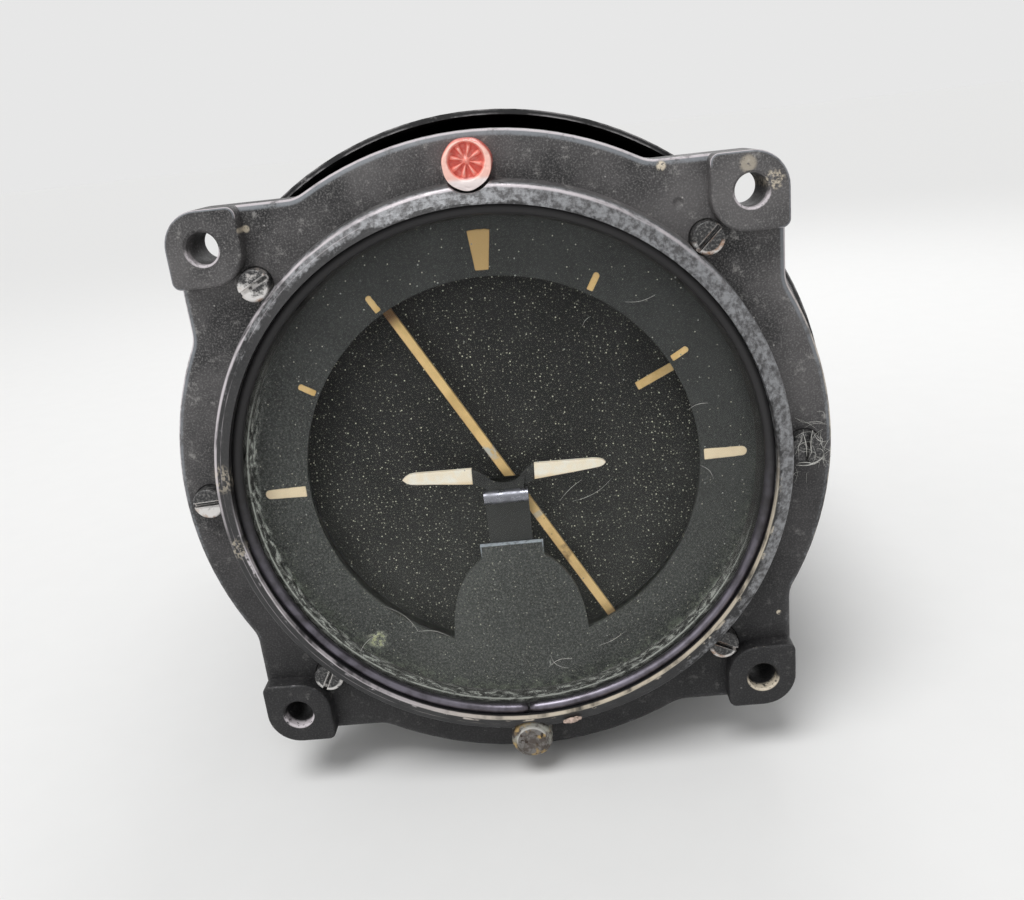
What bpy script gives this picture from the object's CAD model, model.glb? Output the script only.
import math
import random

import bmesh
import bpy
from mathutils import Matrix, Vector, noise


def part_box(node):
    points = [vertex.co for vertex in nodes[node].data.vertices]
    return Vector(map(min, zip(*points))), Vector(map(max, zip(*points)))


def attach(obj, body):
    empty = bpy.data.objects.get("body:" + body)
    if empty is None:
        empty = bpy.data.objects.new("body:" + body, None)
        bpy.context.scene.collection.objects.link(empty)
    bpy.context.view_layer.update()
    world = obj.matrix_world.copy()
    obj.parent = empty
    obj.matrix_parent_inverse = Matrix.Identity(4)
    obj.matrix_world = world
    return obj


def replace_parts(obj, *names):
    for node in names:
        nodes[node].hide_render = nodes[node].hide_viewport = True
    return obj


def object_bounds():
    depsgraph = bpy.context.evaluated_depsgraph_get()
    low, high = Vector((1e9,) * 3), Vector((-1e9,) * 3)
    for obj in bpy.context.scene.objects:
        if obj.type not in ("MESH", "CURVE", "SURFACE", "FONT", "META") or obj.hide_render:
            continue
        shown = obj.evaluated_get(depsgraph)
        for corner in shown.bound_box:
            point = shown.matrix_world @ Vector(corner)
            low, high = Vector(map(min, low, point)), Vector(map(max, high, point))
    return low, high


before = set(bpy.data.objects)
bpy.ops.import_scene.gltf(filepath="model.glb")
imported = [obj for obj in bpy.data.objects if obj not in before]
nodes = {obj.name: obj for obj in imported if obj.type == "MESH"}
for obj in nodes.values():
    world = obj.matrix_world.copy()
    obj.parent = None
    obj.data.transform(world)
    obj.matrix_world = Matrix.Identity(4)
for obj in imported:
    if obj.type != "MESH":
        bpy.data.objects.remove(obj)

cadLow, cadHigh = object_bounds()
mm = 0.001
print("frame loaded:", len(nodes), "pieces")

camera = {"place": (0.01077, -0.16016, 0.0597), "yaw": 3.05, "pitch": -18.74, "roll": 6.39, "lens": 33.154}


def addCamera():
    turn = Matrix.Rotation(math.radians(camera["yaw"]), 3, "Z")
    turn = turn @ Matrix.Rotation(math.radians(camera["pitch"]), 3, "X")
    turn = turn @ Matrix.Rotation(math.radians(camera["roll"]), 3, "Y")
    lens = bpy.data.cameras.new("camera")
    lens.lens = camera["lens"]
    lens.clip_start = 0.005
    eye = bpy.data.objects.new("camera", lens)
    bpy.context.scene.collection.objects.link(eye)
    facing = Matrix((turn.col[0], turn.col[2], -turn.col[1])).transposed()
    eye.matrix_world = Matrix.Translation(camera["place"]) @ facing.to_4x4()
    bpy.context.scene.camera = eye


studio = {"floorColour": (0.79, 0.79, 0.785), "floorSize": 30, "skyLight": 0.42, "skySeen": 0.80,
          "sunPower": 2.0, "sunFrom": (-0.22, -0.38, 1.0), "sunSoftness": 32,
          "fillPower": 0.9, "fillFrom": (-0.45, -0.60, 0.30), "fillSize": 0.5,
          "rimPower": 1.2, "rimFrom": (0.15, 0.55, 0.55), "rimSize": 0.4, "rimToward": (0, 0.03, 0.03)}


def addLamp(name, kind, place, target, size, power):
    lamp = bpy.data.lights.new(name, kind)
    lamp.energy = power
    if kind == "SUN":
        lamp.angle = math.radians(size)
    else:
        lamp.shape = "DISK"
        lamp.size = size
    holder = bpy.data.objects.new(name, lamp)
    bpy.context.scene.collection.objects.link(holder)
    holder.location = place
    holder.rotation_euler = (Vector(target) - Vector(place)).to_track_quat("-Z", "Y").to_euler()


def addStudio():
    bpy.context.scene.view_settings.view_transform = "Standard"
    bpy.ops.mesh.primitive_plane_add(size=studio["floorSize"], location=(0, 0, cadLow.z))
    floor = bpy.context.active_object
    floor.name = "studioFloor"
    t = Nodes("paleFloor")
    grain = t.noise(90, 3)
    t.set("Base Color", t.mix(grain, studio["floorColour"], [c * 0.97 for c in studio["floorColour"]]))
    t.set("Roughness", 0.9)
    floor.data.materials.append(t.material)

    # the sky lights at one level and is seen, also in gloss and through glass, at a paler one
    world = bpy.data.worlds.new("studioSky")
    bpy.context.scene.world = world
    world.use_nodes = True
    tree = world.node_tree
    tree.nodes.clear()
    out = tree.nodes.new("ShaderNodeOutputWorld")
    sky = tree.nodes.new("ShaderNodeBackground")
    path = tree.nodes.new("ShaderNodeLightPath")
    seen = path.outputs["Is Camera Ray"]
    for ray in ("Is Glossy Ray", "Is Transmission Ray"):
        either = tree.nodes.new("ShaderNodeMath")
        either.operation = "MAXIMUM"
        tree.links.new(seen, either.inputs[0])
        tree.links.new(path.outputs[ray], either.inputs[1])
        seen = either.outputs[0]
    level = tree.nodes.new("ShaderNodeMapRange")
    level.inputs["To Min"].default_value = studio["skyLight"]
    level.inputs["To Max"].default_value = studio["skySeen"]
    sky.inputs["Color"].default_value = (1, 1, 1, 1)
    tree.links.new(seen, level.inputs["Value"])
    tree.links.new(level.outputs[0], sky.inputs["Strength"])
    tree.links.new(sky.outputs[0], out.inputs["Surface"])

    addLamp("sunLamp", "SUN", studio["sunFrom"], (0, 0, 0), studio["sunSoftness"], studio["sunPower"])
    addLamp("fillLamp", "AREA", studio["fillFrom"], (0, 0, 0), studio["fillSize"], studio["fillPower"])
    addLamp("rimLamp", "AREA", studio["rimFrom"], studio["rimToward"], studio["rimSize"], studio["rimPower"])


dialRim = 46 * mm  # streaks round the dial are measured along this circle


class Nodes:
    # one material and short calls for the nodes inside it
    def __init__(self, name):
        self.material = bpy.data.materials.new(name)
        self.material.use_nodes = True
        self.tree = self.material.node_tree
        self.tree.nodes.clear()
        self.out = self.tree.nodes.new("ShaderNodeOutputMaterial")
        self.shader = self.tree.nodes.new("ShaderNodeBsdfPrincipled")
        self.join(self.shader.outputs[0], self.out.inputs["Surface"])
        self.place = self.tree.nodes.new("ShaderNodeTexCoord").outputs["Object"]
        self.split = None

    def join(self, source, socket):
        self.tree.links.new(source, socket)

    def feed(self, socket, value):
        if hasattr(value, "is_output"):
            self.join(value, socket)
        elif socket.type == "RGBA" and not isinstance(value, (int, float)):
            socket.default_value = (*value[:3], 1)
        else:
            socket.default_value = value

    def set(self, name, value):
        self.feed(self.shader.inputs[name], value)

    def axis(self, letter):
        if self.split is None:
            self.split = self.tree.nodes.new("ShaderNodeSeparateXYZ")
            self.join(self.place, self.split.inputs[0])
        return self.split.outputs[letter]

    def sum(self, kind, a, b=0.0):
        node = self.tree.nodes.new("ShaderNodeMath")
        node.operation = kind
        self.feed(node.inputs[0], a)
        self.feed(node.inputs[1], b)
        return node.outputs[0]

    def times(self, *values):
        total = values[0]
        for value in values[1:]:
            total = self.sum("MULTIPLY", total, value)
        return total

    def most(self, *values):
        total = values[0]
        for value in values[1:]:
            total = self.sum("MAXIMUM", total, value)
        return total

    def band(self, value, low, high, toLow=0.0, toHigh=1.0):
        node = self.tree.nodes.new("ShaderNodeMapRange")
        node.interpolation_type = "SMOOTHSTEP"
        for name, number in (("Value", value), ("From Min", low), ("From Max", high),
                             ("To Min", toLow), ("To Max", toHigh)):
            self.feed(node.inputs[name], number)
        return node.outputs[0]

    def between(self, value, low, high, soft):
        return self.times(self.band(value, low - soft, low + soft),
                          self.band(value, high + soft, high - soft))

    def mix(self, share, a, b):
        node = self.tree.nodes.new("ShaderNodeMix")
        node.data_type = "RGBA"
        self.feed(node.inputs[0], share)
        self.feed(node.inputs[6], a)
        self.feed(node.inputs[7], b)
        return node.outputs[2]

    def noise(self, scale, detail=3.0, roughness=0.55, distortion=0.0, place=None):
        node = self.tree.nodes.new("ShaderNodeTexNoise")
        self.join(place or self.place, node.inputs["Vector"])
        for name, number in (("Scale", scale), ("Detail", detail), ("Roughness", roughness),
                             ("Distortion", distortion)):
            node.inputs[name].default_value = number
        return node.outputs[0]

    def flat(self, x=None, z=None):
        # the place across the dial, for patterns that ignore depth
        node = self.tree.nodes.new("ShaderNodeCombineXYZ")
        self.feed(node.inputs[0], self.axis("X") if x is None else x)
        self.feed(node.inputs[1], self.axis("Z") if z is None else z)
        return node.outputs[0]

    def round(self):
        # metres along a circle about the dial's centre, counted from its foot, and metres out from it
        turn = self.sum("ARCTAN2", self.axis("X"), self.times(self.axis("Z"), -1.0))
        return self.flat(self.times(turn, dialRim), self.radius())

    def specks(self, scale, size, share, place=None):
        # small separate grains: size is the share of a cell, share how many cells hold one
        node = self.tree.nodes.new("ShaderNodeTexVoronoi")
        if place is not None:
            node.voronoi_dimensions = "2D"
        self.join(place or self.place, node.inputs["Vector"])
        node.inputs["Scale"].default_value = scale
        dot = self.band(node.outputs["Distance"], size, size * 0.55)
        pick = self.tree.nodes.new("ShaderNodeSeparateColor")
        self.join(node.outputs["Color"], pick.inputs[0])
        return self.times(dot, self.band(pick.outputs[0], 1 - share, 1 - share + 0.02),
                          self.band(pick.outputs[1], 0.0, 1.0, 0.25, 1.0))

    def stretched(self, x, y, z, angle=0.0, place=None):
        node = self.tree.nodes.new("ShaderNodeMapping")
        self.join(place or self.place, node.inputs["Vector"])
        node.inputs["Rotation"].default_value = (0, math.radians(angle), 0)
        node.inputs["Scale"].default_value = (x, y, z)
        return node.outputs[0]

    def reach(self, x, z):
        # how far the point x, z lies from the middle
        size = self.tree.nodes.new("ShaderNodeVectorMath")
        size.operation = "LENGTH"
        self.join(self.flat(x, z), size.inputs[0])
        return size.outputs["Value"]

    def radius(self, x=0.0, z=0.0):
        return self.reach(self.sum("SUBTRACT", self.axis("X"), x), self.sum("SUBTRACT", self.axis("Z"), z))

    def spot(self, x, z, size, soft=0.3):
        return self.band(self.radius(x * mm, z * mm), size * (1 + soft) * mm, size * (1 - soft) * mm)

    def facing(self):
        # how squarely the surface looks at the dial's front, in the piece's own frame
        turn = self.tree.nodes.new("ShaderNodeSeparateXYZ")
        self.join(self.tree.nodes.new("ShaderNodeTexCoord").outputs["Normal"], turn.inputs[0])
        return self.times(turn.outputs["Y"], -1.0)

    def edges(self, width):
        # 1 along the piece's sharp edges, from how a bevel would turn the surface there
        bevel = self.tree.nodes.new("ShaderNodeBevel")
        bevel.samples = 6
        bevel.inputs["Radius"].default_value = width
        own = self.tree.nodes.new("ShaderNodeNewGeometry")
        dot = self.tree.nodes.new("ShaderNodeVectorMath")
        dot.operation = "DOT_PRODUCT"
        self.join(bevel.outputs[0], dot.inputs[0])
        self.join(own.outputs["Normal"], dot.inputs[1])
        return self.band(self.sum("SUBTRACT", 1.0, dot.outputs["Value"]), 0.02, 0.16)

    def bump(self, height, depth, strength=1.0):
        node = self.tree.nodes.new("ShaderNodeBump")
        node.inputs["Distance"].default_value = depth
        node.inputs["Strength"].default_value = strength
        self.join(height, node.inputs["Height"])
        self.join(node.outputs[0], self.shader.inputs["Normal"])

    def finished(self, colour, roughness, grain, depth, strength):
        # the last steps of most finishes: colour, roughness and a grain, its depth in millimetres
        self.set("Base Color", colour)
        self.set("Roughness", roughness)
        self.bump(self.noise(grain, 3), depth * mm, strength)
        return self.material


def finish(nodeNames, material):
    for name in nodeNames:
        piece = nodes[name]
        piece.data.materials.clear()
        piece.data.materials.append(material)


casting = {"paint": (0.010, 0.010, 0.011), "faded": (0.108, 0.103, 0.104), "grain": (0.185, 0.18, 0.178),
           "dust": (0.40, 0.39, 0.375), "bare": (0.27, 0.275, 0.285), "dull": (0.085, 0.083, 0.085),
           "silver": (0.55, 0.51, 0.53), "blue": (0.21, 0.225, 0.245), "beige": (0.60, 0.53, 0.42),
           "crown": (0.014, 0.014, 0.015), "holePitch": 46.04 * mm}


def castingEnamel():
    t = Nodes("castingEnamel")
    radius = t.radius()
    x, y, z = t.axis("X"), t.axis("Y"), t.axis("Z")
    patch = t.noise(260, 5, 0.65)
    fine = t.noise(1500, 3)
    streak = t.noise(1, 4, 0.6, 0.2, t.stretched(160, 900, 1, 0, t.round()))
    above = t.band(z, -0.012, 0.006)
    under = t.band(z, 0.004, -0.012)

    # dust settles on the upper half and fades it, the lower half stays darker
    upper = t.band(z, -0.060, 0.052)
    cloud = t.times(t.band(t.noise(60, 4), 0.30, 0.65), t.band(upper, 0, 1, 0.10, 1.0))
    paint = t.mix(cloud, casting["paint"], casting["faded"])
    grain = t.times(t.band(t.noise(3000, 3, 0.7), 0.46, 0.70), t.band(upper, 0, 1, 0.16, 0.90))
    paint = t.mix(grain, paint, casting["grain"])
    dust = t.times(t.most(t.specks(620, 0.14, 0.24),
                          t.times(t.band(t.noise(420, 5, 0.75), 0.56, 0.72), 0.60)),
                   t.band(upper, 0, 1, 0.25, 1.0))
    paint = t.mix(dust, paint, casting["dust"])

    # the ring's crown: scraped grey from the top round to the right, ragged towards its
    # inner edge, dark elsewhere
    crown = t.times(t.between(radius, 48.2 * mm, 52.0 * mm, 0.15 * mm), t.band(y, 1.0 * mm, -1.2 * mm))
    paint = t.mix(t.times(crown, 0.85), paint, casting["crown"])
    toward = t.sum("ADD", t.times(x, 0.70 / 0.05), t.times(z, 0.72 / 0.05))
    ragged = t.band(radius, 48.7 * mm, 50.4 * mm, -0.22, 0.10)
    amount = t.sum("ADD", t.times(toward, 0.40), t.sum("ADD", t.times(patch, 0.70), t.times(streak, 0.40)))
    amount = t.sum("ADD", t.sum("ADD", amount, ragged), t.times(t.band(fine, 0.3, 0.7), 0.12))
    crownWear = t.times(crown, t.band(amount, 0.62, 0.80))
    shoulder = t.times(t.between(radius, 51.22 * mm, 51.70 * mm, 0.16 * mm), above,
                       t.band(streak, 0.30, 0.56), t.band(x, 0.044, 0.026))
    lip = t.times(t.most(t.times(t.between(radius, 48.40 * mm, 49.0 * mm, 0.14 * mm),
                                 t.band(y, -2.4 * mm, -2.8 * mm)),
                         t.times(t.between(radius, 49.0 * mm, 49.6 * mm, 0.2 * mm),
                                 t.band(patch, 0.54, 0.62))),
                  under, t.band(streak, 0.30, 0.54))
    hair = t.times(t.between(radius, 50.35 * mm, 50.45 * mm, 0.08 * mm), t.band(x, 0.010, -0.020),
                   t.band(streak, 0.40, 0.60), 0.5)
    lineWear = t.times(t.most(shoulder, lip, hair), t.band(y, 0.4 * mm, -0.8 * mm))

    # convex edges, told by how the surface turns away: a grey-blue shoulder and a bare outermost line
    facing = t.facing()
    outward = t.band(t.most(t.sum("ABSOLUTE", x), t.sum("ABSOLUTE", z)), 50.0 * mm, 51.0 * mm)
    rim = t.most(t.times(t.band(radius, 56.5 * mm, 58 * mm), t.band(y, 3.2 * mm, 3.5 * mm)),
                 t.times(outward, t.band(y, 1.7 * mm, 1.2 * mm), t.band(radius, 58 * mm, 60 * mm)),
                 t.times(t.between(z, -42.0 * mm, -39.0 * mm, 0.4 * mm), t.band(y, 1.7 * mm, 1.2 * mm), 0.6))
    rimAmount = t.sum("ADD", t.sum("ADD", t.times(patch, 0.9), t.times(upper, 0.34)), t.times(fine, 0.35))
    rim = t.times(rim, t.band(rimAmount, 0.68, 0.98))
    rolled = t.times(rim, t.band(facing, 0.60, 0.72), t.band(facing, 0.985, 0.93), 0.75)
    scraped = t.times(rim, t.band(facing, 0.20, 0.40), t.band(facing, 0.74, 0.62))
    holeZ = t.sum("SUBTRACT", z, t.times(t.sum("SIGN", z), casting["holePitch"]))
    hole = t.reach(t.sum("SUBTRACT", t.sum("ABSOLUTE", x), casting["holePitch"]), holeZ)
    mouth = t.times(t.band(hole, 3.25 * mm, 3.05 * mm), t.band(y, 2.4 * mm, 1.4 * mm),
                    t.band(t.sum("ADD", holeZ, t.times(t.sum("SUBTRACT", patch, 0.5), 3 * mm)),
                           0.4 * mm, -1.2 * mm),
                    t.band(fine, 0.30, 0.50))

    # chips and rubbed spots down to the undercoat
    chips = t.most(t.spot(31.9, 51.2, 0.75), t.spot(-38.9, 48.3, 0.6),
                   t.times(t.spot(49.7, 47.4, 1.5), t.band(fine, 0.44, 0.6), 0.8),
                   t.times(t.spot(45.5, 50.3, 1.3), 0.5),
                   t.spot(-52.6, 31.5, 0.4), t.spot(50.0, -34.0, 0.45),
                   t.times(t.spot(-49.9, -8.0, 2.0), t.band(fine, 0.46, 0.6), 0.5),
                   t.times(t.spot(-50.4, 6.0, 2.6), t.band(fine, 0.46, 0.6), 0.4))
    chips = t.times(chips, t.band(t.sum("ADD", fine, t.times(patch, 0.4)), 0.50, 0.66))
    scrape = t.mix(t.band(t.noise(900, 5, 0.7), 0.36, 0.64), casting["bare"], casting["dull"])
    colour = t.mix(crownWear, paint, scrape)
    colour = t.mix(rolled, colour, casting["blue"])
    warm = t.band(t.sum("ADD", x, t.times(z, -1.0)), 0.01, 0.06)
    colour = t.mix(t.most(scraped, lineWear, mouth), colour, t.mix(warm, casting["silver"], casting["beige"]))
    t.set("Base Color", t.mix(chips, colour, casting["beige"]))
    t.set("Metallic", t.times(crownWear, 0.35))
    t.set("Specular IOR Level", 0.34)
    t.set("Roughness", t.sum("ADD", t.times(crown, -0.16), t.band(t.noise(300, 3), 0.3, 0.7, 0.46, 0.64)))
    dent = t.spot(34.4, 44.9, 0.7, 0.6)
    height = t.sum("ADD", t.times(t.noise(1500, 3, 0.7), 0.7),
                   t.sum("ADD", t.times(crownWear, -0.4), t.times(patch, 0.9)))
    t.bump(t.sum("SUBTRACT", height, t.times(dent, 4.0)), 0.10 * mm, 0.9)
    return t.material


glass = {"tint": (0.975, 0.98, 0.975), "dust": (0.60, 0.63, 0.57), "yellow": (0.52, 0.56, 0.14),
         "haze": 0.060, "shine": 0.07, "deposit": 0.55}


def dialGlass():
    t = Nodes("dialGlass")
    t.set("Roughness", 0.8)
    clear = t.tree.nodes.new("ShaderNodeBsdfTransparent")
    clear.inputs[0].default_value = (*glass["tint"], 1)
    gloss = t.tree.nodes.new("ShaderNodeBsdfGlossy")
    gloss.inputs["Roughness"].default_value = 0.04
    angle = t.tree.nodes.new("ShaderNodeFresnel")
    angle.inputs["IOR"].default_value = 1.42
    shine = t.tree.nodes.new("ShaderNodeMixShader")
    t.join(t.times(angle.outputs[0], glass["shine"]), shine.inputs[0])
    t.join(clear.outputs[0], shine.inputs[1])
    t.join(gloss.outputs[0], shine.inputs[2])

    # a dust film that thickens downwards, a deposit along the lower rim, wiping marks and specks
    radius, x, z = t.radius(), t.axis("X"), t.axis("Z")
    across = t.flat()
    film = t.times(t.band(t.noise(40, 5, 0.6), 0.2, 0.8), t.band(z, 0.030, -0.035, 0.0, 1.0), glass["haze"])
    low = t.band(t.sum("ADD", z, t.times(x, 0.45)), 0.016, -0.016)
    streak = t.noise(1, 5, 0.7, 0.5, t.stretched(520, 1500, 1, 0, t.round()))
    fringe = t.times(t.between(radius, 44.6 * mm, 46.9 * mm, 0.9 * mm), low,
                     t.band(streak, 0.42, 0.66), glass["deposit"])
    ring = t.times(t.between(radius, 46.2 * mm, 46.5 * mm, 0.22 * mm), low, t.band(streak, 0.30, 0.50), 0.75)
    wipe = t.times(t.band(t.noise(1, 5, 0.6, 0.4, t.stretched(50, 50, 1100, 30)), 0.62, 0.70),
                   t.band(t.noise(34, 2), 0.54, 0.66), 0.09)
    yellow = t.times(t.spot(-27.6, -30.6, 1.8, 0.5), t.band(t.noise(650, 5, 0.7), 0.42, 0.58), 0.55)
    lint = t.times(t.most(t.spot(36.6, -2.2, 1.4), t.spot(7.0, -38.4, 3.0), t.spot(-31.0, -32.0, 3.6)),
                   t.band(t.noise(1, 5, 0.75, 1.6, t.stretched(700, 1, 260, 35)), 0.56, 0.66), 0.40)
    specks = t.times(t.specks(300, 0.055, 0.22, across), 0.55)
    cover = t.most(film, fringe, ring, wipe, lint, yellow, specks)
    t.set("Base Color", t.mix(yellow, glass["dust"], glass["yellow"]))
    front = t.band(t.axis("Y"), 1.0 * mm, 0.4 * mm)
    dusty = t.tree.nodes.new("ShaderNodeMixShader")
    t.join(t.times(cover, front), dusty.inputs[0])
    t.join(shine.outputs[0], dusty.inputs[1])
    t.join(t.shader.outputs[0], dusty.inputs[2])
    t.join(dusty.outputs[0], t.out.inputs["Surface"])
    return t.material


dial = {"mask": (0.019, 0.020, 0.020), "maskDust": (0.135, 0.142, 0.130), "moss": (0.20, 0.23, 0.17),
        "disc": (0.0060, 0.0058, 0.0058), "discHaze": (0.075, 0.075, 0.068), "speck": (0.88, 0.86, 0.68),
        "tongueEdge": (0.38, 0.42, 0.47), "cream": (0.86, 0.61, 0.29), "creamPale": (1.0, 0.88, 0.70),
        "creamShade": (0.58, 0.385, 0.165), "brown": (0.17, 0.085, 0.030)}


def maskPaint():
    t = Nodes("maskPaint")
    colour = t.mix(t.band(t.noise(120, 4), 0.35, 0.7), dial["mask"], [c * 1.5 for c in dial["mask"]])
    lower = t.band(t.sum("ADD", t.axis("Z"), t.times(t.axis("X"), 0.5)), 0.030, -0.030, 0.25, 1.0)
    colour = t.mix(t.times(t.band(t.noise(2400, 3, 0.7), 0.42, 0.72), lower, 0.75), colour, dial["maskDust"])
    low = t.band(t.axis("Z"), 0.010, -0.040)
    ring = t.times(t.band(t.radius(), 42.5 * mm, 48.2 * mm), low, t.band(t.noise(600, 5, 0.7), 0.40, 0.68))
    colour = t.mix(t.times(ring, 0.8), colour, dial["moss"])
    grains = t.most(t.times(t.specks(520, 0.07, 0.40, t.flat()), 0.6),
                    t.times(t.specks(1100, 0.11, 0.6, t.flat()), lower, 0.35))
    colour = t.mix(grains, colour, dial["speck"])
    # the cut edge of the tongue is rubbed bare along its top and round its corners
    side, height = t.sum("ABSOLUTE", t.axis("X")), t.axis("Z")
    ragged = t.band(t.noise(1100, 4), 0.34, 0.52)
    top = t.times(t.between(height, -14.55 * mm, -14.0 * mm, 0.10 * mm), t.band(side, 6.3 * mm, 6.1 * mm),
                  t.band(ragged, 0.0, 1.0, 0.45, 1.0))
    corner = t.times(t.between(side, 5.75 * mm, 6.2 * mm, 0.10 * mm), t.band(height, -17.2 * mm, -15.0 * mm),
                     t.band(height, -13.8 * mm, -14.1 * mm), ragged, 0.6)
    colour = t.mix(t.most(top, corner), colour, dial["tongueEdge"])
    return t.finished(colour, 0.62, 1500, 0.03, 0.6)


def creamPaint(name):
    t = Nodes(name)
    aged = [c * s for c, s in zip(dial["cream"], (0.86, 0.80, 0.66))]
    colour = t.mix(t.band(t.noise(420, 4), 0.35, 0.7), dial["cream"], aged)
    colour = t.mix(t.band(t.axis("Z"), 33.0 * mm, 38.0 * mm), colour, dial["creamShade"])
    level = t.band(t.sum("ABSOLUTE", t.axis("Z")), 5.0 * mm, 3.0 * mm, 0.0, 0.6)
    colour = t.mix(level, colour, dial["creamPale"])
    colour = t.mix(t.times(t.edges(0.35 * mm), 0.75), colour, dial["brown"])
    colour = t.mix(t.times(t.specks(1500, 0.2, 0.15), 0.7), colour, dial["brown"])
    return t.finished(colour, 0.7, 1300, 0.04, 0.7)


def discPaint():
    t = Nodes("discPaint")
    colour = t.mix(t.band(t.noise(160, 4), 0.35, 0.75), dial["disc"], [c * 2.4 for c in dial["disc"]])
    colour = t.mix(t.times(t.band(t.noise(1900, 3), 0.54, 0.74), 0.6), colour, dial["discHaze"])
    across = t.flat()
    cluster = t.band(t.noise(45, 3), 0.34, 0.60, 0.45, 1.0)
    fine = t.times(t.specks(1500, 0.14, 0.80, across), cluster, 0.32)
    grains = t.times(t.specks(900, 0.120, 0.55, across), cluster, 0.85)
    coarse = t.specks(560, 0.088, 0.34, across)
    colour = t.mix(t.most(fine, grains, coarse), colour, dial["speck"])
    return t.finished(colour, 0.75, 900, 0.03, 0.5)


bar = {"rollAtRest": math.radians(61), "cream": (0.86, 0.59, 0.26), "aged": (0.68, 0.45, 0.18),
       "bare": (0.55, 0.53, 0.47), "arm": (0.34, 0.34, 0.33)}


def barPaint():
    t = Nodes("barPaint")
    # distance along the bar, from the arm's end at -40 mm to the free end at 37 mm
    along = t.sum("SUBTRACT", t.times(t.axis("X"), math.cos(bar["rollAtRest"])),
                  t.times(t.axis("Z"), math.sin(bar["rollAtRest"])))
    colour = t.mix(t.band(t.noise(300, 4), 0.35, 0.7), bar["cream"], bar["aged"])
    stain = t.most(t.band(along, -32.0 * mm, -35.0 * mm), t.times(t.band(along, 35.5 * mm, 36.5 * mm), 0.6),
                   t.times(t.band(t.noise(230, 5, 0.6), 0.58, 0.74), t.band(along, -6 * mm, 2 * mm), 0.8))
    colour = t.mix(t.times(t.specks(900, 0.2, 0.12), 0.6), t.mix(stain, colour, dial["brown"]), dial["brown"])
    bare = t.most(t.times(t.between(along, -5.6 * mm, -2.4 * mm, 0.5 * mm),
                          t.band(t.noise(700, 4), 0.42, 0.58)),
                  t.times(t.between(along, 10.8 * mm, 11.9 * mm, 0.2 * mm), 0.6))
    colour = t.mix(bare, colour, bar["bare"])
    colour = t.mix(t.times(t.edges(0.3 * mm), 0.65), colour, dial["brown"])
    # the arm behind the dial is bare aluminium
    arm = t.band(t.axis("Y"), 6.35 * mm, 6.6 * mm)
    colour = t.mix(arm, colour, bar["arm"])
    t.set("Metallic", t.times(arm, 0.9))
    return t.finished(colour, 0.6, 1200, 0.04, 0.8)


# each metal's colour, stained colour, roughness, and the stains' scale and share
metals = {"screwSteel": ((0.44, 0.43, 0.42), (0.12, 0.09, 0.07), 0.38, 420, 0.5),
          "barSteel": ((0.27, 0.27, 0.31), (0.13, 0.125, 0.14), 0.26, 600, 0.4),
          "slideBlack": ((0.010, 0.010, 0.010), (0.035, 0.035, 0.032), 0.55, 500, 0.5, 0.15, 0.0),
          "castAluminium": ((0.42, 0.42, 0.41), (0.20, 0.20, 0.19), 0.52, 220, 0.7),
          "turnedAluminium": ((0.55, 0.55, 0.54), (0.30, 0.30, 0.29), 0.36, 380, 0.5),
          "agedBrass": ((0.52, 0.36, 0.15), (0.15, 0.09, 0.045), 0.36, 420, 0.65),
          "groundSteel": ((0.50, 0.50, 0.50), (0.26, 0.25, 0.24), 0.28, 500, 0.45)}
metalPieces = {"screwSteel": ["shroud_screws", "cover_screws", "housing_screws"],
               "barSteel": ["slide_crossbar"],
               "slideBlack": ["aircraft_slide"],
               "castAluminium": ["main_case", "case_cover"],
               "turnedAluminium": ["rear_bearing_housing", "filter_ring", "roll_gimbal", "rotor_housing",
                                   "housing_lid", "erection_body"],
               "agedBrass": ["knob_gland", "suction_union", "port_plug", "port_bosses", "balance_nuts",
                             "bearing_plates", "bar_counterweight", "bearing_caps", "air_jets", "rotor",
                             "vane_pair_lateral", "vane_pair_fore_aft"],
               "groundSteel": ["spindle_bearings", "pitch_bearings", "rotor_bearings", "bearing_spacer",
                               "spindle_nut", "roll_stop_pin", "disc_screws", "bar_pivot_screw",
                               "lid_screws", "guide_pin", "body_screws", "rotor_shaft", "knob_shaft",
                               "shroud_posts"]}


def metal(name, colour, stained, roughness, scale, stain, wear=0.35, metallic=0.95):
    t = Nodes(name)
    patch = t.band(t.noise(scale, 5, 0.6), 0.35, 0.72)
    tone = t.mix(t.times(patch, stain), colour, stained)
    tone = t.mix(t.times(t.edges(0.4 * mm), wear), tone, [min(1.0, c * 1.6) for c in colour])
    t.set("Metallic", metallic)
    dullness = t.band(patch, 0.0, 1.0, roughness, min(1.0, roughness + 0.22))
    return t.finished(tone, dullness, scale * 3, 0.03, 0.5)


shroud = {"lacquer": (0.006, 0.006, 0.007), "faded": (0.018, 0.017, 0.017), "grit": (0.25, 0.24, 0.22),
          "bare": (0.62, 0.60, 0.61)}


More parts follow.
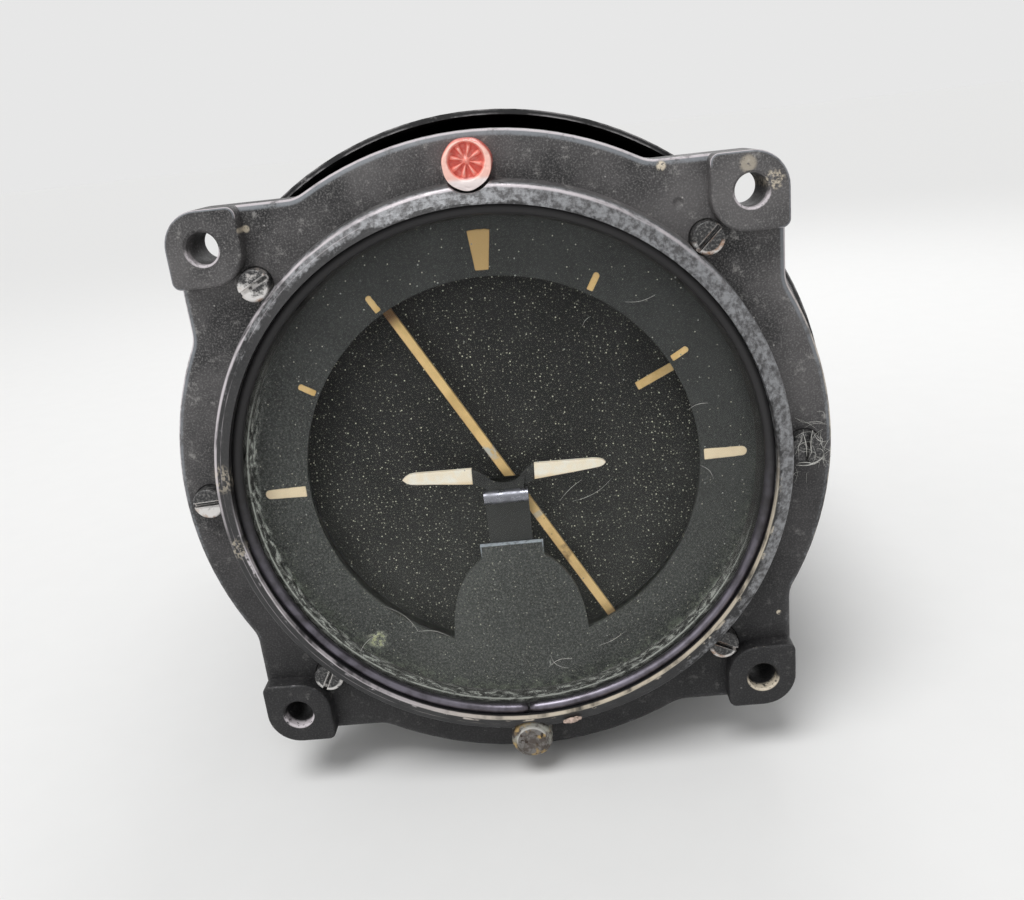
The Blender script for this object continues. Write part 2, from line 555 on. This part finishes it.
def shroudLacquer():
    t = Nodes("shroudLacquer")
    colour = t.mix(t.band(t.noise(45, 4), 0.4, 0.7), shroud["lacquer"], shroud["faded"])
    colour = t.mix(t.times(t.specks(500, 0.12, 0.25), 0.7), colour, shroud["grit"])
    scratch = t.most(t.band(t.noise(1, 4, 0.6, 0.3, t.stretched(60, 1100, 60)), 0.70, 0.75),
                     t.band(t.noise(1, 4, 0.6, 0.8, t.stretched(700, 120, 90, 25)), 0.70, 0.75))
    scuff = t.times(t.band(t.noise(70, 5, 0.7), 0.60, 0.68), t.band(t.noise(900, 3), 0.48, 0.60), 0.35)
    worn = t.most(t.times(t.edges(0.7 * mm), t.band(t.noise(150, 5, 0.65), 0.42, 0.62), 0.8),
                  t.times(scratch, 0.30), scuff)
    colour = t.mix(worn, colour, shroud["bare"])
    t.set("Metallic", t.times(worn, 0.3))
    return t.finished(colour, t.band(t.noise(180, 3), 0.3, 0.7, 0.30, 0.46), 260, 0.05, 0.5)


soft = {"rubber": (0.016, 0.016, 0.016), "rubberWorn": (0.045, 0.043, 0.040),
        "felt": (0.20, 0.18, 0.13), "feltPale": (0.50, 0.46, 0.36)}


def rubber():
    t = Nodes("gasketRubber")
    return t.finished(t.mix(t.noise(600, 4), soft["rubber"], soft["rubberWorn"]), 0.8, 1800, 0.04, 0.7)


def felt():
    t = Nodes("filterFelt")
    fibre = t.noise(1, 4, 0.7, 1.2, t.stretched(1500, 1500, 500, 30))
    t.set("Base Color", t.mix(fibre, soft["felt"], soft["feltPale"]))
    t.set("Roughness", 0.95)
    t.bump(fibre, 0.3 * mm, 1.0)
    return t.material


screws = {"circle": 55 * mm, "diagonal": 38.891 * mm,
          "paint": (0.016, 0.016, 0.017), "grain": (0.17, 0.165, 0.16),
          "steel": (0.70, 0.68, 0.66), "rust": (0.34, 0.19, 0.11)}


def screwEnamel():
    # painted over with the casting; plating shows on the heads' lower rims, most of all on the left side
    t = Nodes("screwEnamel")
    x, z = t.axis("X"), t.axis("Z")
    patch = t.noise(420, 5, 0.65)
    level = t.band(t.sum("ABSOLUTE", z), 20 * mm, 21 * mm)
    fromX = t.sum("SUBTRACT", t.sum("ABSOLUTE", x), t.band(level, 0, 1, screws["circle"], screws["diagonal"]))
    fromZ = t.sum("SUBTRACT", z, t.times(t.sum("SIGN", z), level, screws["diagonal"]))
    head = t.reach(fromX, fromZ)
    leftSide = t.band(x, 0.0, -0.010)
    rim = t.times(t.band(head, 2.0 * mm, 2.3 * mm), t.band(fromZ, -0.2 * mm, -1.0 * mm),
                  t.band(patch, 0.30, 0.46), t.most(leftSide, t.band(level, 0.4, 0.6)))
    leftScrew = t.times(leftSide, t.band(level, 0.6, 0.4), t.band(fromZ, -0.2 * mm, -0.9 * mm),
                        t.band(patch, 0.30, 0.44))
    upperLeft = t.times(leftSide, t.band(z, 0.025, 0.030),
                        t.band(t.sum("ADD", patch, t.times(fromZ, -45)), 0.42, 0.55))
    slotEdge = t.times(t.edges(0.5 * mm), t.band(patch, 0.30, 0.48), t.band(leftSide, 0, 1, 0.5, 1.0),
                       t.most(leftSide, t.band(level, 0.4, 0.6)))
    bare = t.most(rim, slotEdge, leftScrew, upperLeft)
    steel = t.mix(t.band(t.sum("ADD", patch, t.times(leftSide, -0.1)), 0.45, 0.62),
                  screws["steel"], screws["rust"])
    paint = t.mix(t.band(t.noise(2300, 3, 0.7), 0.45, 0.7), screws["paint"], screws["grain"])
    t.set("Metallic", t.times(bare, 0.55))
    return t.finished(t.mix(bare, paint, steel), t.band(patch, 0.3, 0.7, 0.34, 0.52), 1400, 0.05, 0.8)


def finishNodes():
    finish(["bezel_flange"], castingEnamel())
    finish(["cover_glass"], dialGlass())
    finish(["dial_mask", "slide_rivets"], maskPaint())
    finish(["sky_disc"], discPaint())
    finish(["horizon_bar"], barPaint())
    finish(["rear_shroud"], shroudLacquer())
    finish(["glass_gasket", "case_gasket"], rubber())
    finish(["inlet_filter"], felt())
    finish(["flange_screws"], screwEnamel())
    for name, pieces in metalPieces.items():
        finish(pieces, metal(name, *metals[name]))


def addPiece(name, mesh, body, materials, smooth=True):
    if smooth:
        mesh.polygons.foreach_set("use_smooth", [True] * len(mesh.polygons))
    mesh.update()
    piece = bpy.data.objects.new(name, mesh)
    bpy.context.scene.collection.objects.link(piece)
    for material in materials:
        mesh.materials.append(material)
    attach(piece, body)
    return piece


def meshFrom(builder, name):
    mesh = bpy.data.meshes.new(name)
    builder.to_mesh(mesh)
    builder.free()
    return mesh


def wallFaces(rings, steps):
    # the faces between neighbouring rings of points
    faces = []
    for i in range(rings):
        for j in range(steps):
            k = (j + 1) % steps
            faces.append((i * steps + j, i * steps + k, (i + 1) * steps + k, (i + 1) * steps + j))
    return faces


def tubeRing(builder, centre, across, up, size, sides):
    ring = []
    for k in range(sides):
        a = 2 * math.pi * k / sides
        ring.append(builder.verts.new((centre + (across * math.cos(a) + up * math.sin(a)) * size) * mm))
    return ring


def joinTube(builder, rings):
    # the wall between the rings and the two closed ends
    sides = len(rings[0])
    for low, high in zip(rings, rings[1:]):
        for k in range(sides):
            builder.faces.new((low[k], low[(k + 1) % sides], high[(k + 1) % sides], high[k]))
    builder.faces.new(rings[0][::-1])
    builder.faces.new(rings[-1])


seal = {"radius": 4.3, "place": (0.0, 55.0), "back": 3.3, "front": -0.4,
        "stampRadius": 3.15, "stampLift": 0.50, "recess": 0.735, "petalHeight": 0.17, "hubHeight": 0.16,
        "rings": 48, "steps": 180, "petals": 8, "colour": (0.90, 0.30, 0.24), "pale": (1.0, 0.66, 0.57),
        "deep": (0.66, 0.105, 0.075), "bloom": (1.0, 0.92, 0.90)}


def waxColour():
    t = Nodes("sealingWax")
    ridge = t.band(t.axis("Y"), 0.52 * mm, 0.20 * mm)
    colour = t.mix(ridge, seal["deep"], seal["colour"])
    colour = t.mix(t.times(t.band(t.axis("Y"), 0.10 * mm, -0.25 * mm), 0.80), colour, seal["pale"])
    colour = t.mix(t.times(t.band(t.noise(900, 4), 0.5, 0.7), 0.25), colour, seal["pale"])
    # a pale bloom on the thick lower rim
    below = t.times(t.band(t.axis("Z"), 53.0 * mm, 52.2 * mm), t.band(t.axis("Y"), 1.6 * mm, 0.3 * mm))
    colour = t.mix(t.times(below, 0.9), colour, seal["bloom"])
    return t.finished(colour, 0.34, 1100, 0.05, 0.6)


def sealHeight(x, z, reach, outline):
    # 0 at the casting, 1 at the crest; the stamp sits high on the blob, so the rim is thickest below
    fromStamp = math.hypot(x, z - seal["stampLift"])
    edge = seal["stampRadius"]
    if fromStamp < edge:
        turn = math.atan2(x, z - seal["stampLift"]) + 0.5
        share = fromStamp / edge
        petal = max(0.0, math.cos(seal["petals"] * turn)) ** 0.8 * math.exp(-((share - 0.56) / 0.30) ** 4)
        hub = math.exp(-(share / 0.17) ** 2)
        rise = seal["petalHeight"] * petal + seal["hubHeight"] * hub + 0.25 * max(0.0, share - 0.88) / 0.12
        return seal["recess"] + rise
    room = max(0.05, reach - fromStamp + seal["stampLift"] * 0.4)
    share = min(1.0, max(0.0, (outline - math.hypot(x, z)) / room))
    return math.sqrt(max(0.0, 1 - (1 - min(1.0, share * 1.5)) ** 2))


def addWaxSeal():
    points = []
    rings, steps = seal["rings"], seal["steps"]
    for i in range(rings + 1):
        for j in range(steps):
            turn = 2 * math.pi * j / steps
            outline = seal["radius"] * (0.972 + 0.018 * math.sin(3 * turn + 0.6) + 0.010 * math.sin(7 * turn))
            reach = outline * math.sin(0.5 * math.pi * i / rings) ** 0.9
            x, z = reach * math.cos(turn), reach * math.sin(turn)
            high = sealHeight(x, z, outline, outline)
            high += 0.035 * noise.noise(Vector((x, z, 0)) * 1.4) * min(1.0, (outline - reach) * 2)
            y = seal["back"] + (seal["front"] - seal["back"]) * min(1.0, max(0.0, high))
            points.append(((seal["place"][0] + x) * mm, y * mm, (seal["place"][1] + z) * mm))
    mesh = bpy.data.meshes.new("waxSeal")
    mesh.from_pydata(points, [], wallFaces(rings, steps))
    piece = addPiece("waxSeal", mesh, "instrument", [waxColour()])
    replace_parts(piece, "inspection_seal")


# the knob's profile gives radius and depth, from the face's centre back over the rim
knob = {"place": (0.0, -54.6), "steps": 96, "pits": 0.14, "grooves": 36, "grooveDepth": 0.05,
        "face": (0.085, 0.070, 0.060), "grey": (0.20, 0.19, 0.18), "ochre": (0.42, 0.29, 0.12),
        "rim": (0.36, 0.36, 0.31), "spots": (0.035, 0.022, 0.015), "edge": (0.52, 0.51, 0.48),
        "profile": [(0.0, -2.78), (0.9, -2.80), (1.8, -2.84), (2.5, -2.88), (2.85, -2.86), (3.05, -2.62),
                    (3.12, -2.32), (3.5, -2.28), (3.8, -2.22), (4.02, -1.95), (4.12, -1.6), (4.12, -0.9),
                    (4.12, 0.0), (4.12, 0.9), (4.12, 1.8), (4.06, 2.4), (3.9, 2.7)]}


def knobColour():
    t = Nodes("corrodedKnob")
    radius = t.radius(knob["place"][0] * mm, knob["place"][1] * mm)
    patch = t.noise(520, 5, 0.7)
    colour = t.mix(t.band(patch, 0.40, 0.60), knob["face"], knob["grey"])
    colour = t.mix(t.times(t.band(t.noise(330, 3), 0.52, 0.62), t.band(radius, 0.6 * mm, 1.6 * mm)),
                   colour, knob["ochre"])
    colour = t.mix(t.band(t.noise(760, 4), 0.56, 0.66), colour, knob["spots"])
    top = t.band(t.axis("Z"), -55.8 * mm, -53.6 * mm, 0.25, 1.0)
    colour = t.mix(t.times(t.band(radius, 2.9 * mm, 3.15 * mm), t.band(patch, 0.42, 0.60), top, 0.75),
                   colour, knob["rim"])
    edge = t.times(t.between(radius, 2.85 * mm, 3.1 * mm, 0.12 * mm), top)
    t.set("Base Color", t.mix(t.times(edge, t.band(patch, 0.36, 0.52)), colour, knob["edge"]))
    t.set("Metallic", 0.35)
    t.set("Roughness", t.band(patch, 0.3, 0.7, 0.42, 0.75))
    t.bump(t.sum("ADD", patch, t.noise(1600, 3)), 0.10 * mm, 1.0)
    return t.material


def addKnob():
    profile, steps = knob["profile"], knob["steps"]
    points = []
    for reach, y in profile:
        for j in range(steps):
            turn = 2 * math.pi * j / steps
            x, z = reach * math.cos(turn), reach * math.sin(turn)
            pit = knob["pits"] * (0.5 + 0.5 * noise.noise(Vector((x, y, z)) * 1.1 + Vector((3, 1, 7))))
            pit += knob["grooveDepth"] * (0.5 + 0.5 * math.cos(knob["grooves"] * turn)) * (reach > 3.9)
            inward = 1 - (pit / reach if reach > 3.4 else 0)
            sunk = pit * 0.6 if reach < 3.4 else 0
            points.append(((knob["place"][0] + x * inward) * mm, (y + sunk) * mm,
                           (knob["place"][1] + z * inward) * mm))
    faces = wallFaces(len(profile) - 1, steps)
    faces.append(tuple((len(profile) - 1) * steps + j for j in range(steps)))
    mesh = bpy.data.meshes.new("corrodedKnob")
    mesh.from_pydata(points, [], faces)
    piece = addPiece("corrodedKnob", mesh, "knob", [knobColour()])
    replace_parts(piece, "adjusting_knob")


wire = {"circle": 47.9, "size": 1.0, "gap": 0.35, "steps": 240, "sides": 16, "ends": (0.86, 0.97, 1.0),
        "bright": (0.17, 0.158, 0.188), "stained": (0.075, 0.069, 0.078), "dirt": (0.018, 0.017, 0.018)}


def wirePlating():
    # bright where it has been handled below, black with dirt above
    t = Nodes("ringWire")
    patch = t.band(t.noise(300, 5, 0.6), 0.35, 0.72)
    colour = t.mix(patch, wire["bright"], wire["stained"])
    dirt = t.band(t.sum("ADD", t.axis("Z"), t.times(patch, 6 * mm)), -0.030, 0.006)
    t.set("Metallic", t.band(dirt, 0.0, 1.0, 0.95, 0.10))
    return t.finished(t.mix(dirt, colour, wire["dirt"]), t.band(dirt, 0.0, 1.0, 0.34, 0.65), 900, 0.03, 0.5)


def addWire():
    # the sprung wire that holds the glass; its ends nearly meet at the foot
    builder = bmesh.new()
    half = wire["gap"] / 2 / wire["circle"]
    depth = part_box("snap_ring")[0][1] / mm + wire["size"]
    rings = []
    for i in range(wire["steps"] + 1):
        turn = half + (2 * math.pi - 2 * half) * i / wire["steps"]
        outward = Vector((math.sin(turn), 0, -math.cos(turn)))
        centre = outward * wire["circle"] + Vector((0, depth, 0))
        fromEnd = min(i, wire["steps"] - i, 2)
        size = wire["size"] * wire["ends"][fromEnd]
        rings.append(tubeRing(builder, centre, outward, Vector((0, 1, 0)), size, wire["sides"]))
    joinTube(builder, rings)
    bmesh.ops.recalc_face_normals(builder, faces=builder.faces)
    mesh = meshFrom(builder, "retainingWire")
    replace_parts(addPiece("retainingWire", mesh, "instrument", [wirePlating()]), "snap_ring")


paintEdge = {"soft": 0.14, "crown": 0.06, "waver": 0.05}


def paintedShape(builder, outline, front, thickness, paint):
    # one flat painted shape, in millimetres across the dial, with rounded edges
    count = len(outline)
    area = sum(outline[i - 1][0] * outline[i][1] - outline[i][0] * outline[i - 1][1] for i in range(count))
    if area < 0:
        outline = outline[::-1]
    inner = []
    for i in range(count):
        before, here, after = Vector(outline[i - 1]), Vector(outline[i]), Vector(outline[(i + 1) % count])
        along = (after - before).normalized()
        inner.append(here + Vector((-along.y, along.x)) * paintEdge["soft"])
    wave = [noise.noise(Vector((p[0], p[1], front)) * 1.7) * paintEdge["waver"] for p in outline]
    loops = []
    for places, y in ((outline, front + thickness), (outline, front + paintEdge["crown"]), (inner, front)):
        loops.append([builder.verts.new(((p[0] + w) * mm, y * mm, (p[1] + w) * mm))
                      for p, w in zip(places, wave)])
    for low, high in ((loops[0], loops[1]), (loops[1], loops[2])):
        for i in range(count):
            k = (i + 1) % count
            builder.faces.new((low[i], low[k], high[k], high[i])).material_index = paint
    face = builder.faces.new(loops[2])
    face.material_index = paint
    return face


def paintedPiece(name, shapes, body, materials, nodeName):
    # each shape is outline, front, thickness and the number of its paint
    builder = bmesh.new()
    tops = [paintedShape(builder, *shape) for shape in shapes]
    bmesh.ops.triangulate(builder, faces=tops)
    bmesh.ops.recalc_face_normals(builder, faces=builder.faces)
    mesh = meshFrom(builder, name)
    piece = addPiece(name, mesh, body, materials, smooth=False)
    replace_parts(piece, nodeName)


marks = {"topEnds": (37.3, 44.2), "topWidths": (2.4, 3.9), "topNose": 0.2, "topAngle": 89.4,
         "tickEnds": (36.9, 40.2), "tickWidth": 1.15, "tickNose": 0.5, "tickAngles": (30, 60, 120, 150),
         "levelEnds": (36.9, 44.6), "levelWidths": (2.1, 1.8), "levelNose": 0.8,
         "pointerEnds": (28.8, 36.3), "pointerWidth": 1.6, "pointerNose": 0.25, "pointerAngle": 25.4,
         "sideSteps": 9}


def strip(ends, widths, nose, angle):
    # a strip that points outward from the dial's centre: square inside, its outer end rounded over nose
    inner, outer = ends
    halfIn, halfOut = widths[0] / 2, widths[1] / 2
    points = [(inner, halfIn - 0.18), (inner + 0.06, halfIn - 0.05), (inner + 0.2, halfIn)]
    spread = marks["sideSteps"]
    for i in range(spread):
        points.append((inner + 0.3 + (outer - nose - inner - 0.3) * (i + 1) / spread,
                       halfIn + (halfOut - halfIn) * (i + 1) / spread))
    for k in range(1, 8):
        a = math.pi * k / 16
        points.append((outer - nose + nose * math.sin(a), halfOut * math.cos(a)))
    points.append((outer, 0.0))
    points += [(u, -v) for u, v in reversed(points[:-1])]
    turn = math.radians(angle)
    return [(u * math.cos(turn) - v * math.sin(turn), u * math.sin(turn) + v * math.cos(turn))
            for u, v in points]


def addMarks():
    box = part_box("index_marks")
    front, thickness = box[0][1] / mm, (box[1][1] - box[0][1]) / mm
    strips = [strip(marks["topEnds"], marks["topWidths"], marks["topNose"], marks["topAngle"])]
    for angle in marks["tickAngles"]:
        strips.append(strip(marks["tickEnds"], (marks["tickWidth"],) * 2, marks["tickNose"], angle))
    for angle in (0, 180):
        strips.append(strip(marks["levelEnds"], marks["levelWidths"], marks["levelNose"], angle))
    shapes = [(outline, front, thickness, 0) for outline in strips]
    paintedPiece("indexMarks", shapes, "instrument", [creamPaint("markPaint")], "index_marks")
    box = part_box("bank_pointer")
    front, thickness = box[0][1] / mm, (box[1][1] - box[0][1]) / mm
    outline = strip(marks["pointerEnds"], (marks["pointerWidth"],) * 2, marks["pointerNose"],
                    marks["pointerAngle"])
    paintedPiece("bankPointer", [(outline, front, thickness, 0)], "gimbal",
                 [creamPaint("pointerPaint")], "bank_pointer")


# the outlines are in millimetres across the dial, to the right and up
aircraft = {"leftWing": [(-5.85, 0.98), (-9.0, 1.0), (-13.0, 1.04), (-16.6, 1.07), (-17.6, 0.90),
                         (-18.4, 0.48), (-18.95, -0.02), (-18.4, -0.62), (-17.6, -1.00), (-16.6, -1.17),
                         (-13.0, -1.45), (-9.0, -1.85), (-6.0, -2.12)],
            "rightWing": [(5.75, 0.92), (9.0, 0.88), (13.0, 0.82), (16.8, 0.76), (17.9, 0.62), (18.6, 0.28),
                          (19.0, -0.12), (18.6, -0.58), (17.9, -0.88), (16.8, -1.05), (13.0, -1.45),
                          (9.0, -1.85), (5.6, -2.18)],
            "bridge": [(-5.85, 0.85), (-5.0, 0.52), (-4.2, -0.02), (-3.2, -0.90), (-2.0, -1.68),
                       (-0.6, -2.08), (0.6, -2.08), (2.0, -1.72), (3.2, -0.95), (4.2, -0.05), (5.0, 0.48),
                       (5.75, 0.82), (5.6, -2.15), (4.7, -2.7), (3.6, -3.2), (3.5, -4.0), (3.5, -5.0),
                       (-3.5, -5.0), (-3.5, -4.0), (-3.6, -3.2), (-4.7, -2.7), (-6.0, -2.1)],
            "wingThick": 0.8, "bridgeThick": 0.72, "bridgeBehind": 0.06,
            "wing": (1.0, 0.95, 0.85), "foot": (0.80, 0.55, 0.25), "edge": (0.50, 0.28, 0.10),
            "black": (0.008, 0.008, 0.008), "blackWorn": (0.020, 0.020, 0.019),
            "blackEdge": (0.12, 0.12, 0.11)}


def aircraftPaint():
    t = Nodes("aircraftPaint")
    colour = t.mix(t.band(t.noise(500, 4), 0.4, 0.7), dial["creamPale"], aircraft["wing"])
    foot = t.band(t.axis("Z"), -1.0 * mm, -2.1 * mm)
    colour = t.mix(t.times(foot, 0.55), colour, aircraft["foot"])
    colour = t.mix(t.times(t.edges(0.25 * mm), 0.45), colour, aircraft["edge"])
    return t.finished(colour, 0.62, 1400, 0.03, 0.6)


def bridgePaint():
    t = Nodes("bridgePaint")
    colour = t.mix(t.band(t.noise(400, 4), 0.4, 0.7), aircraft["black"], aircraft["blackWorn"])
    colour = t.mix(t.times(t.specks(1100, 0.10, 0.30, t.flat()), 0.5), colour, dial["speck"])
    colour = t.mix(t.times(t.edges(0.2 * mm), 0.35), colour, aircraft["blackEdge"])
    return t.finished(colour, 0.6, 1400, 0.03, 0.6)


def addAircraft():
    # two cream wings joined by a black bridge that dips below the horizon bar's crossing
    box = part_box("miniature_aircraft")
    front = box[0][1] / mm
    shapes = [(aircraft["leftWing"], front, aircraft["wingThick"], 0),
              (aircraft["rightWing"], front, aircraft["wingThick"], 0),
              (aircraft["bridge"], front + aircraft["bridgeBehind"], aircraft["bridgeThick"], 1)]
    paintedPiece("aircraftSymbol", shapes, "aircraft", [aircraftPaint(), bridgePaint()],
                 "miniature_aircraft")


# hairs, lint and cobweb: each arc is start, end and sideways bow, in millimetres across the dial
fibres = {"glass": [((-25.2, -23.7), (-19.6, -29.6), 0.9), ((-19.6, -29.6), (-13.6, -31.4), 0.7),
                    ((24.1, 29.9), (29.4, 30.6), -0.5), ((12.2, -5.6), (19.6, -1.9), -0.8),
                    ((9.9, -5.3), (14.2, -1.6), 0.3), ((33.8, 9.6), (37.4, 10.6), 0.4),
                    ((5.2, -37.2), (8.6, -40.4), -0.9), ((4.6, -39.9), (9.4, -38.4), 0.8),
                    ((14.6, -36.0), (19.9, -33.4), -0.4), ((-31.6, -33.2), (-27.2, -29.4), 0.6),
                    ((35.6, -0.9), (37.9, -3.8), 0.5), ((16.6, 26.4), (18.2, 28.0), 0.3)],
          "clump": [((52.9, -2.9), (57.0, -2.7), -0.35), ((53.2, -2.6), (56.2, -3.1), 0.25),
                    ((55.4, -2.9), (58.0, -1.6), -0.3), ((54.2, 3.0), (54.8, -1.4), 0.2),
                    ((55.9, 3.4), (55.7, -1.0), -0.25)],
          "glassSize": 0.030, "glassLift": 0.03, "clumpSize": 0.075, "sides": 5, "steps": 14,
          "webSize": 0.026, "webCount": 80, "webCentre": (55.6, -0.5), "webSpread": (4.6, 6.4),
          "webInside": 52.6, "webOutside": 60.0, "webSeed": 41, "clumpDepths": (0.75, 0.7),
          "headReach": 3.4, "headDepth": 0.82, "flangeDepth": 3.2,
          "colour": (0.40, 0.40, 0.37), "pale": (0.74, 0.73, 0.69)}


def fibreColour():
    t = Nodes("dustyFibre")
    t.set("Base Color", t.mix(t.band(t.noise(700, 3), 0.35, 0.65), fibres["colour"], fibres["pale"]))
    t.set("Roughness", 0.8)
    return t.material


def addTube(builder, path, size):
    rings = []
    for i, point in enumerate(path):
        along = (path[min(i + 1, len(path) - 1)] - path[max(i - 1, 0)]).normalized()
        across = along.cross(Vector((0, 1, 0)))
        across = across.normalized() if across.length > 0.01 else Vector((1, 0, 0))
        up = across.cross(along)
        taper = 0.35 + 0.65 * math.sin(math.pi * (i + 0.5) / len(path))
        rings.append(tubeRing(builder, point, across, up, size * taper, fibres["sides"]))
    joinTube(builder, rings)


def bowed(start, end, bow, depths):
    first, last = Vector(start), Vector(end)
    side = Vector((-(last - first).y, (last - first).x)).normalized()
    path = []
    for i in range(fibres["steps"] + 1):
        share = i / fibres["steps"]
        here = first.lerp(last, share) + side * bow * math.sin(math.pi * share)
        path.append(Vector((here.x, depths[0] + (depths[1] - depths[0]) * share, here.y)))
    return path


def addFibres():
    builder = bmesh.new()
    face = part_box("cover_glass")[0][1] / mm - fibres["glassLift"]
    for start, end, bow in fibres["glass"]:
        addTube(builder, bowed(start, end, bow, (face, face)), fibres["glassSize"])
    addPiece("glassLint", meshFrom(builder, "glassLint"), "instrument", [fibreColour()])

    # a matted cobweb between the ring and the right-hand screw
    random.seed(fibres["webSeed"])
    builder = bmesh.new()
    for _ in range(fibres["webCount"]):
        x = fibres["webCentre"][0] + random.uniform(-1, 1) * fibres["webSpread"][0]
        z = fibres["webCentre"][1] + random.gauss(0, 0.45) * fibres["webSpread"][1]
        angle = random.uniform(0, math.pi)
        reach = random.uniform(0.6, 2.4)
        across = (math.cos(angle) * reach, math.sin(angle) * reach)
        start, end = (x - across[0], z - across[1]), (x + across[0], z + across[1])
        near, far = sorted((math.hypot(*start), math.hypot(*end)))
        if near < fibres["webInside"] or far > fibres["webOutside"]:
            continue
        onHead = math.hypot(x - 55, z) < fibres["headReach"]
        depth = (fibres["headDepth"] if onHead else fibres["flangeDepth"]) - random.uniform(0.0, 0.5)
        bow = random.uniform(-0.8, 0.8)
        addTube(builder, bowed(start, end, bow, (depth, depth - random.uniform(0, 0.3))), fibres["webSize"])
    for start, end, bow in fibres["clump"]:
        addTube(builder, bowed(start, end, bow, fibres["clumpDepths"]), fibres["clumpSize"])
    addPiece("screwCobweb", meshFrom(builder, "screwCobweb"), "instrument", [fibreColour()])


lump = {"place": (8.3, -3.1, -50.15), "size": (1.75, 0.42, 0.55),
        "colour": (0.62, 0.47, 0.40), "dark": (0.25, 0.19, 0.15)}


def addPaintLump():
    # a dried lump on the ring's lower shoulder
    builder = bmesh.new()
    bmesh.ops.create_icosphere(builder, subdivisions=4, radius=1.0)
    turn = math.atan2(lump["place"][0], -lump["place"][2])
    for vert in builder.verts:
        swell = 1 + 0.30 * noise.noise(vert.co * 2.1) + 0.12 * noise.noise(vert.co * 6.0)
        place = Vector([c * s * swell for c, s in zip(vert.co, lump["size"])])
        place = Matrix.Rotation(-turn, 3, "Y") @ place
        vert.co = (place + Vector(lump["place"])) * mm
    mesh = meshFrom(builder, "paintLump")
    t = Nodes("driedPaint")
    t.set("Base Color", t.mix(t.band(t.noise(900, 4), 0.38, 0.62), lump["dark"], lump["colour"]))
    t.set("Roughness", 0.7)
    t.bump(t.noise(1500, 3), 0.08 * mm, 1.0)
    addPiece("paintLump", mesh, "instrument", [t.material])


addCamera()
addStudio()
print("camera and studio ready")
finishNodes()
print("finishes on all pieces")
addWaxSeal()
addKnob()
addWire()
print("seal, knob and wire modelled")
addMarks()
addAircraft()
print("painted marks modelled")
addFibres()
addPaintLump()
print("lint and lump modelled")
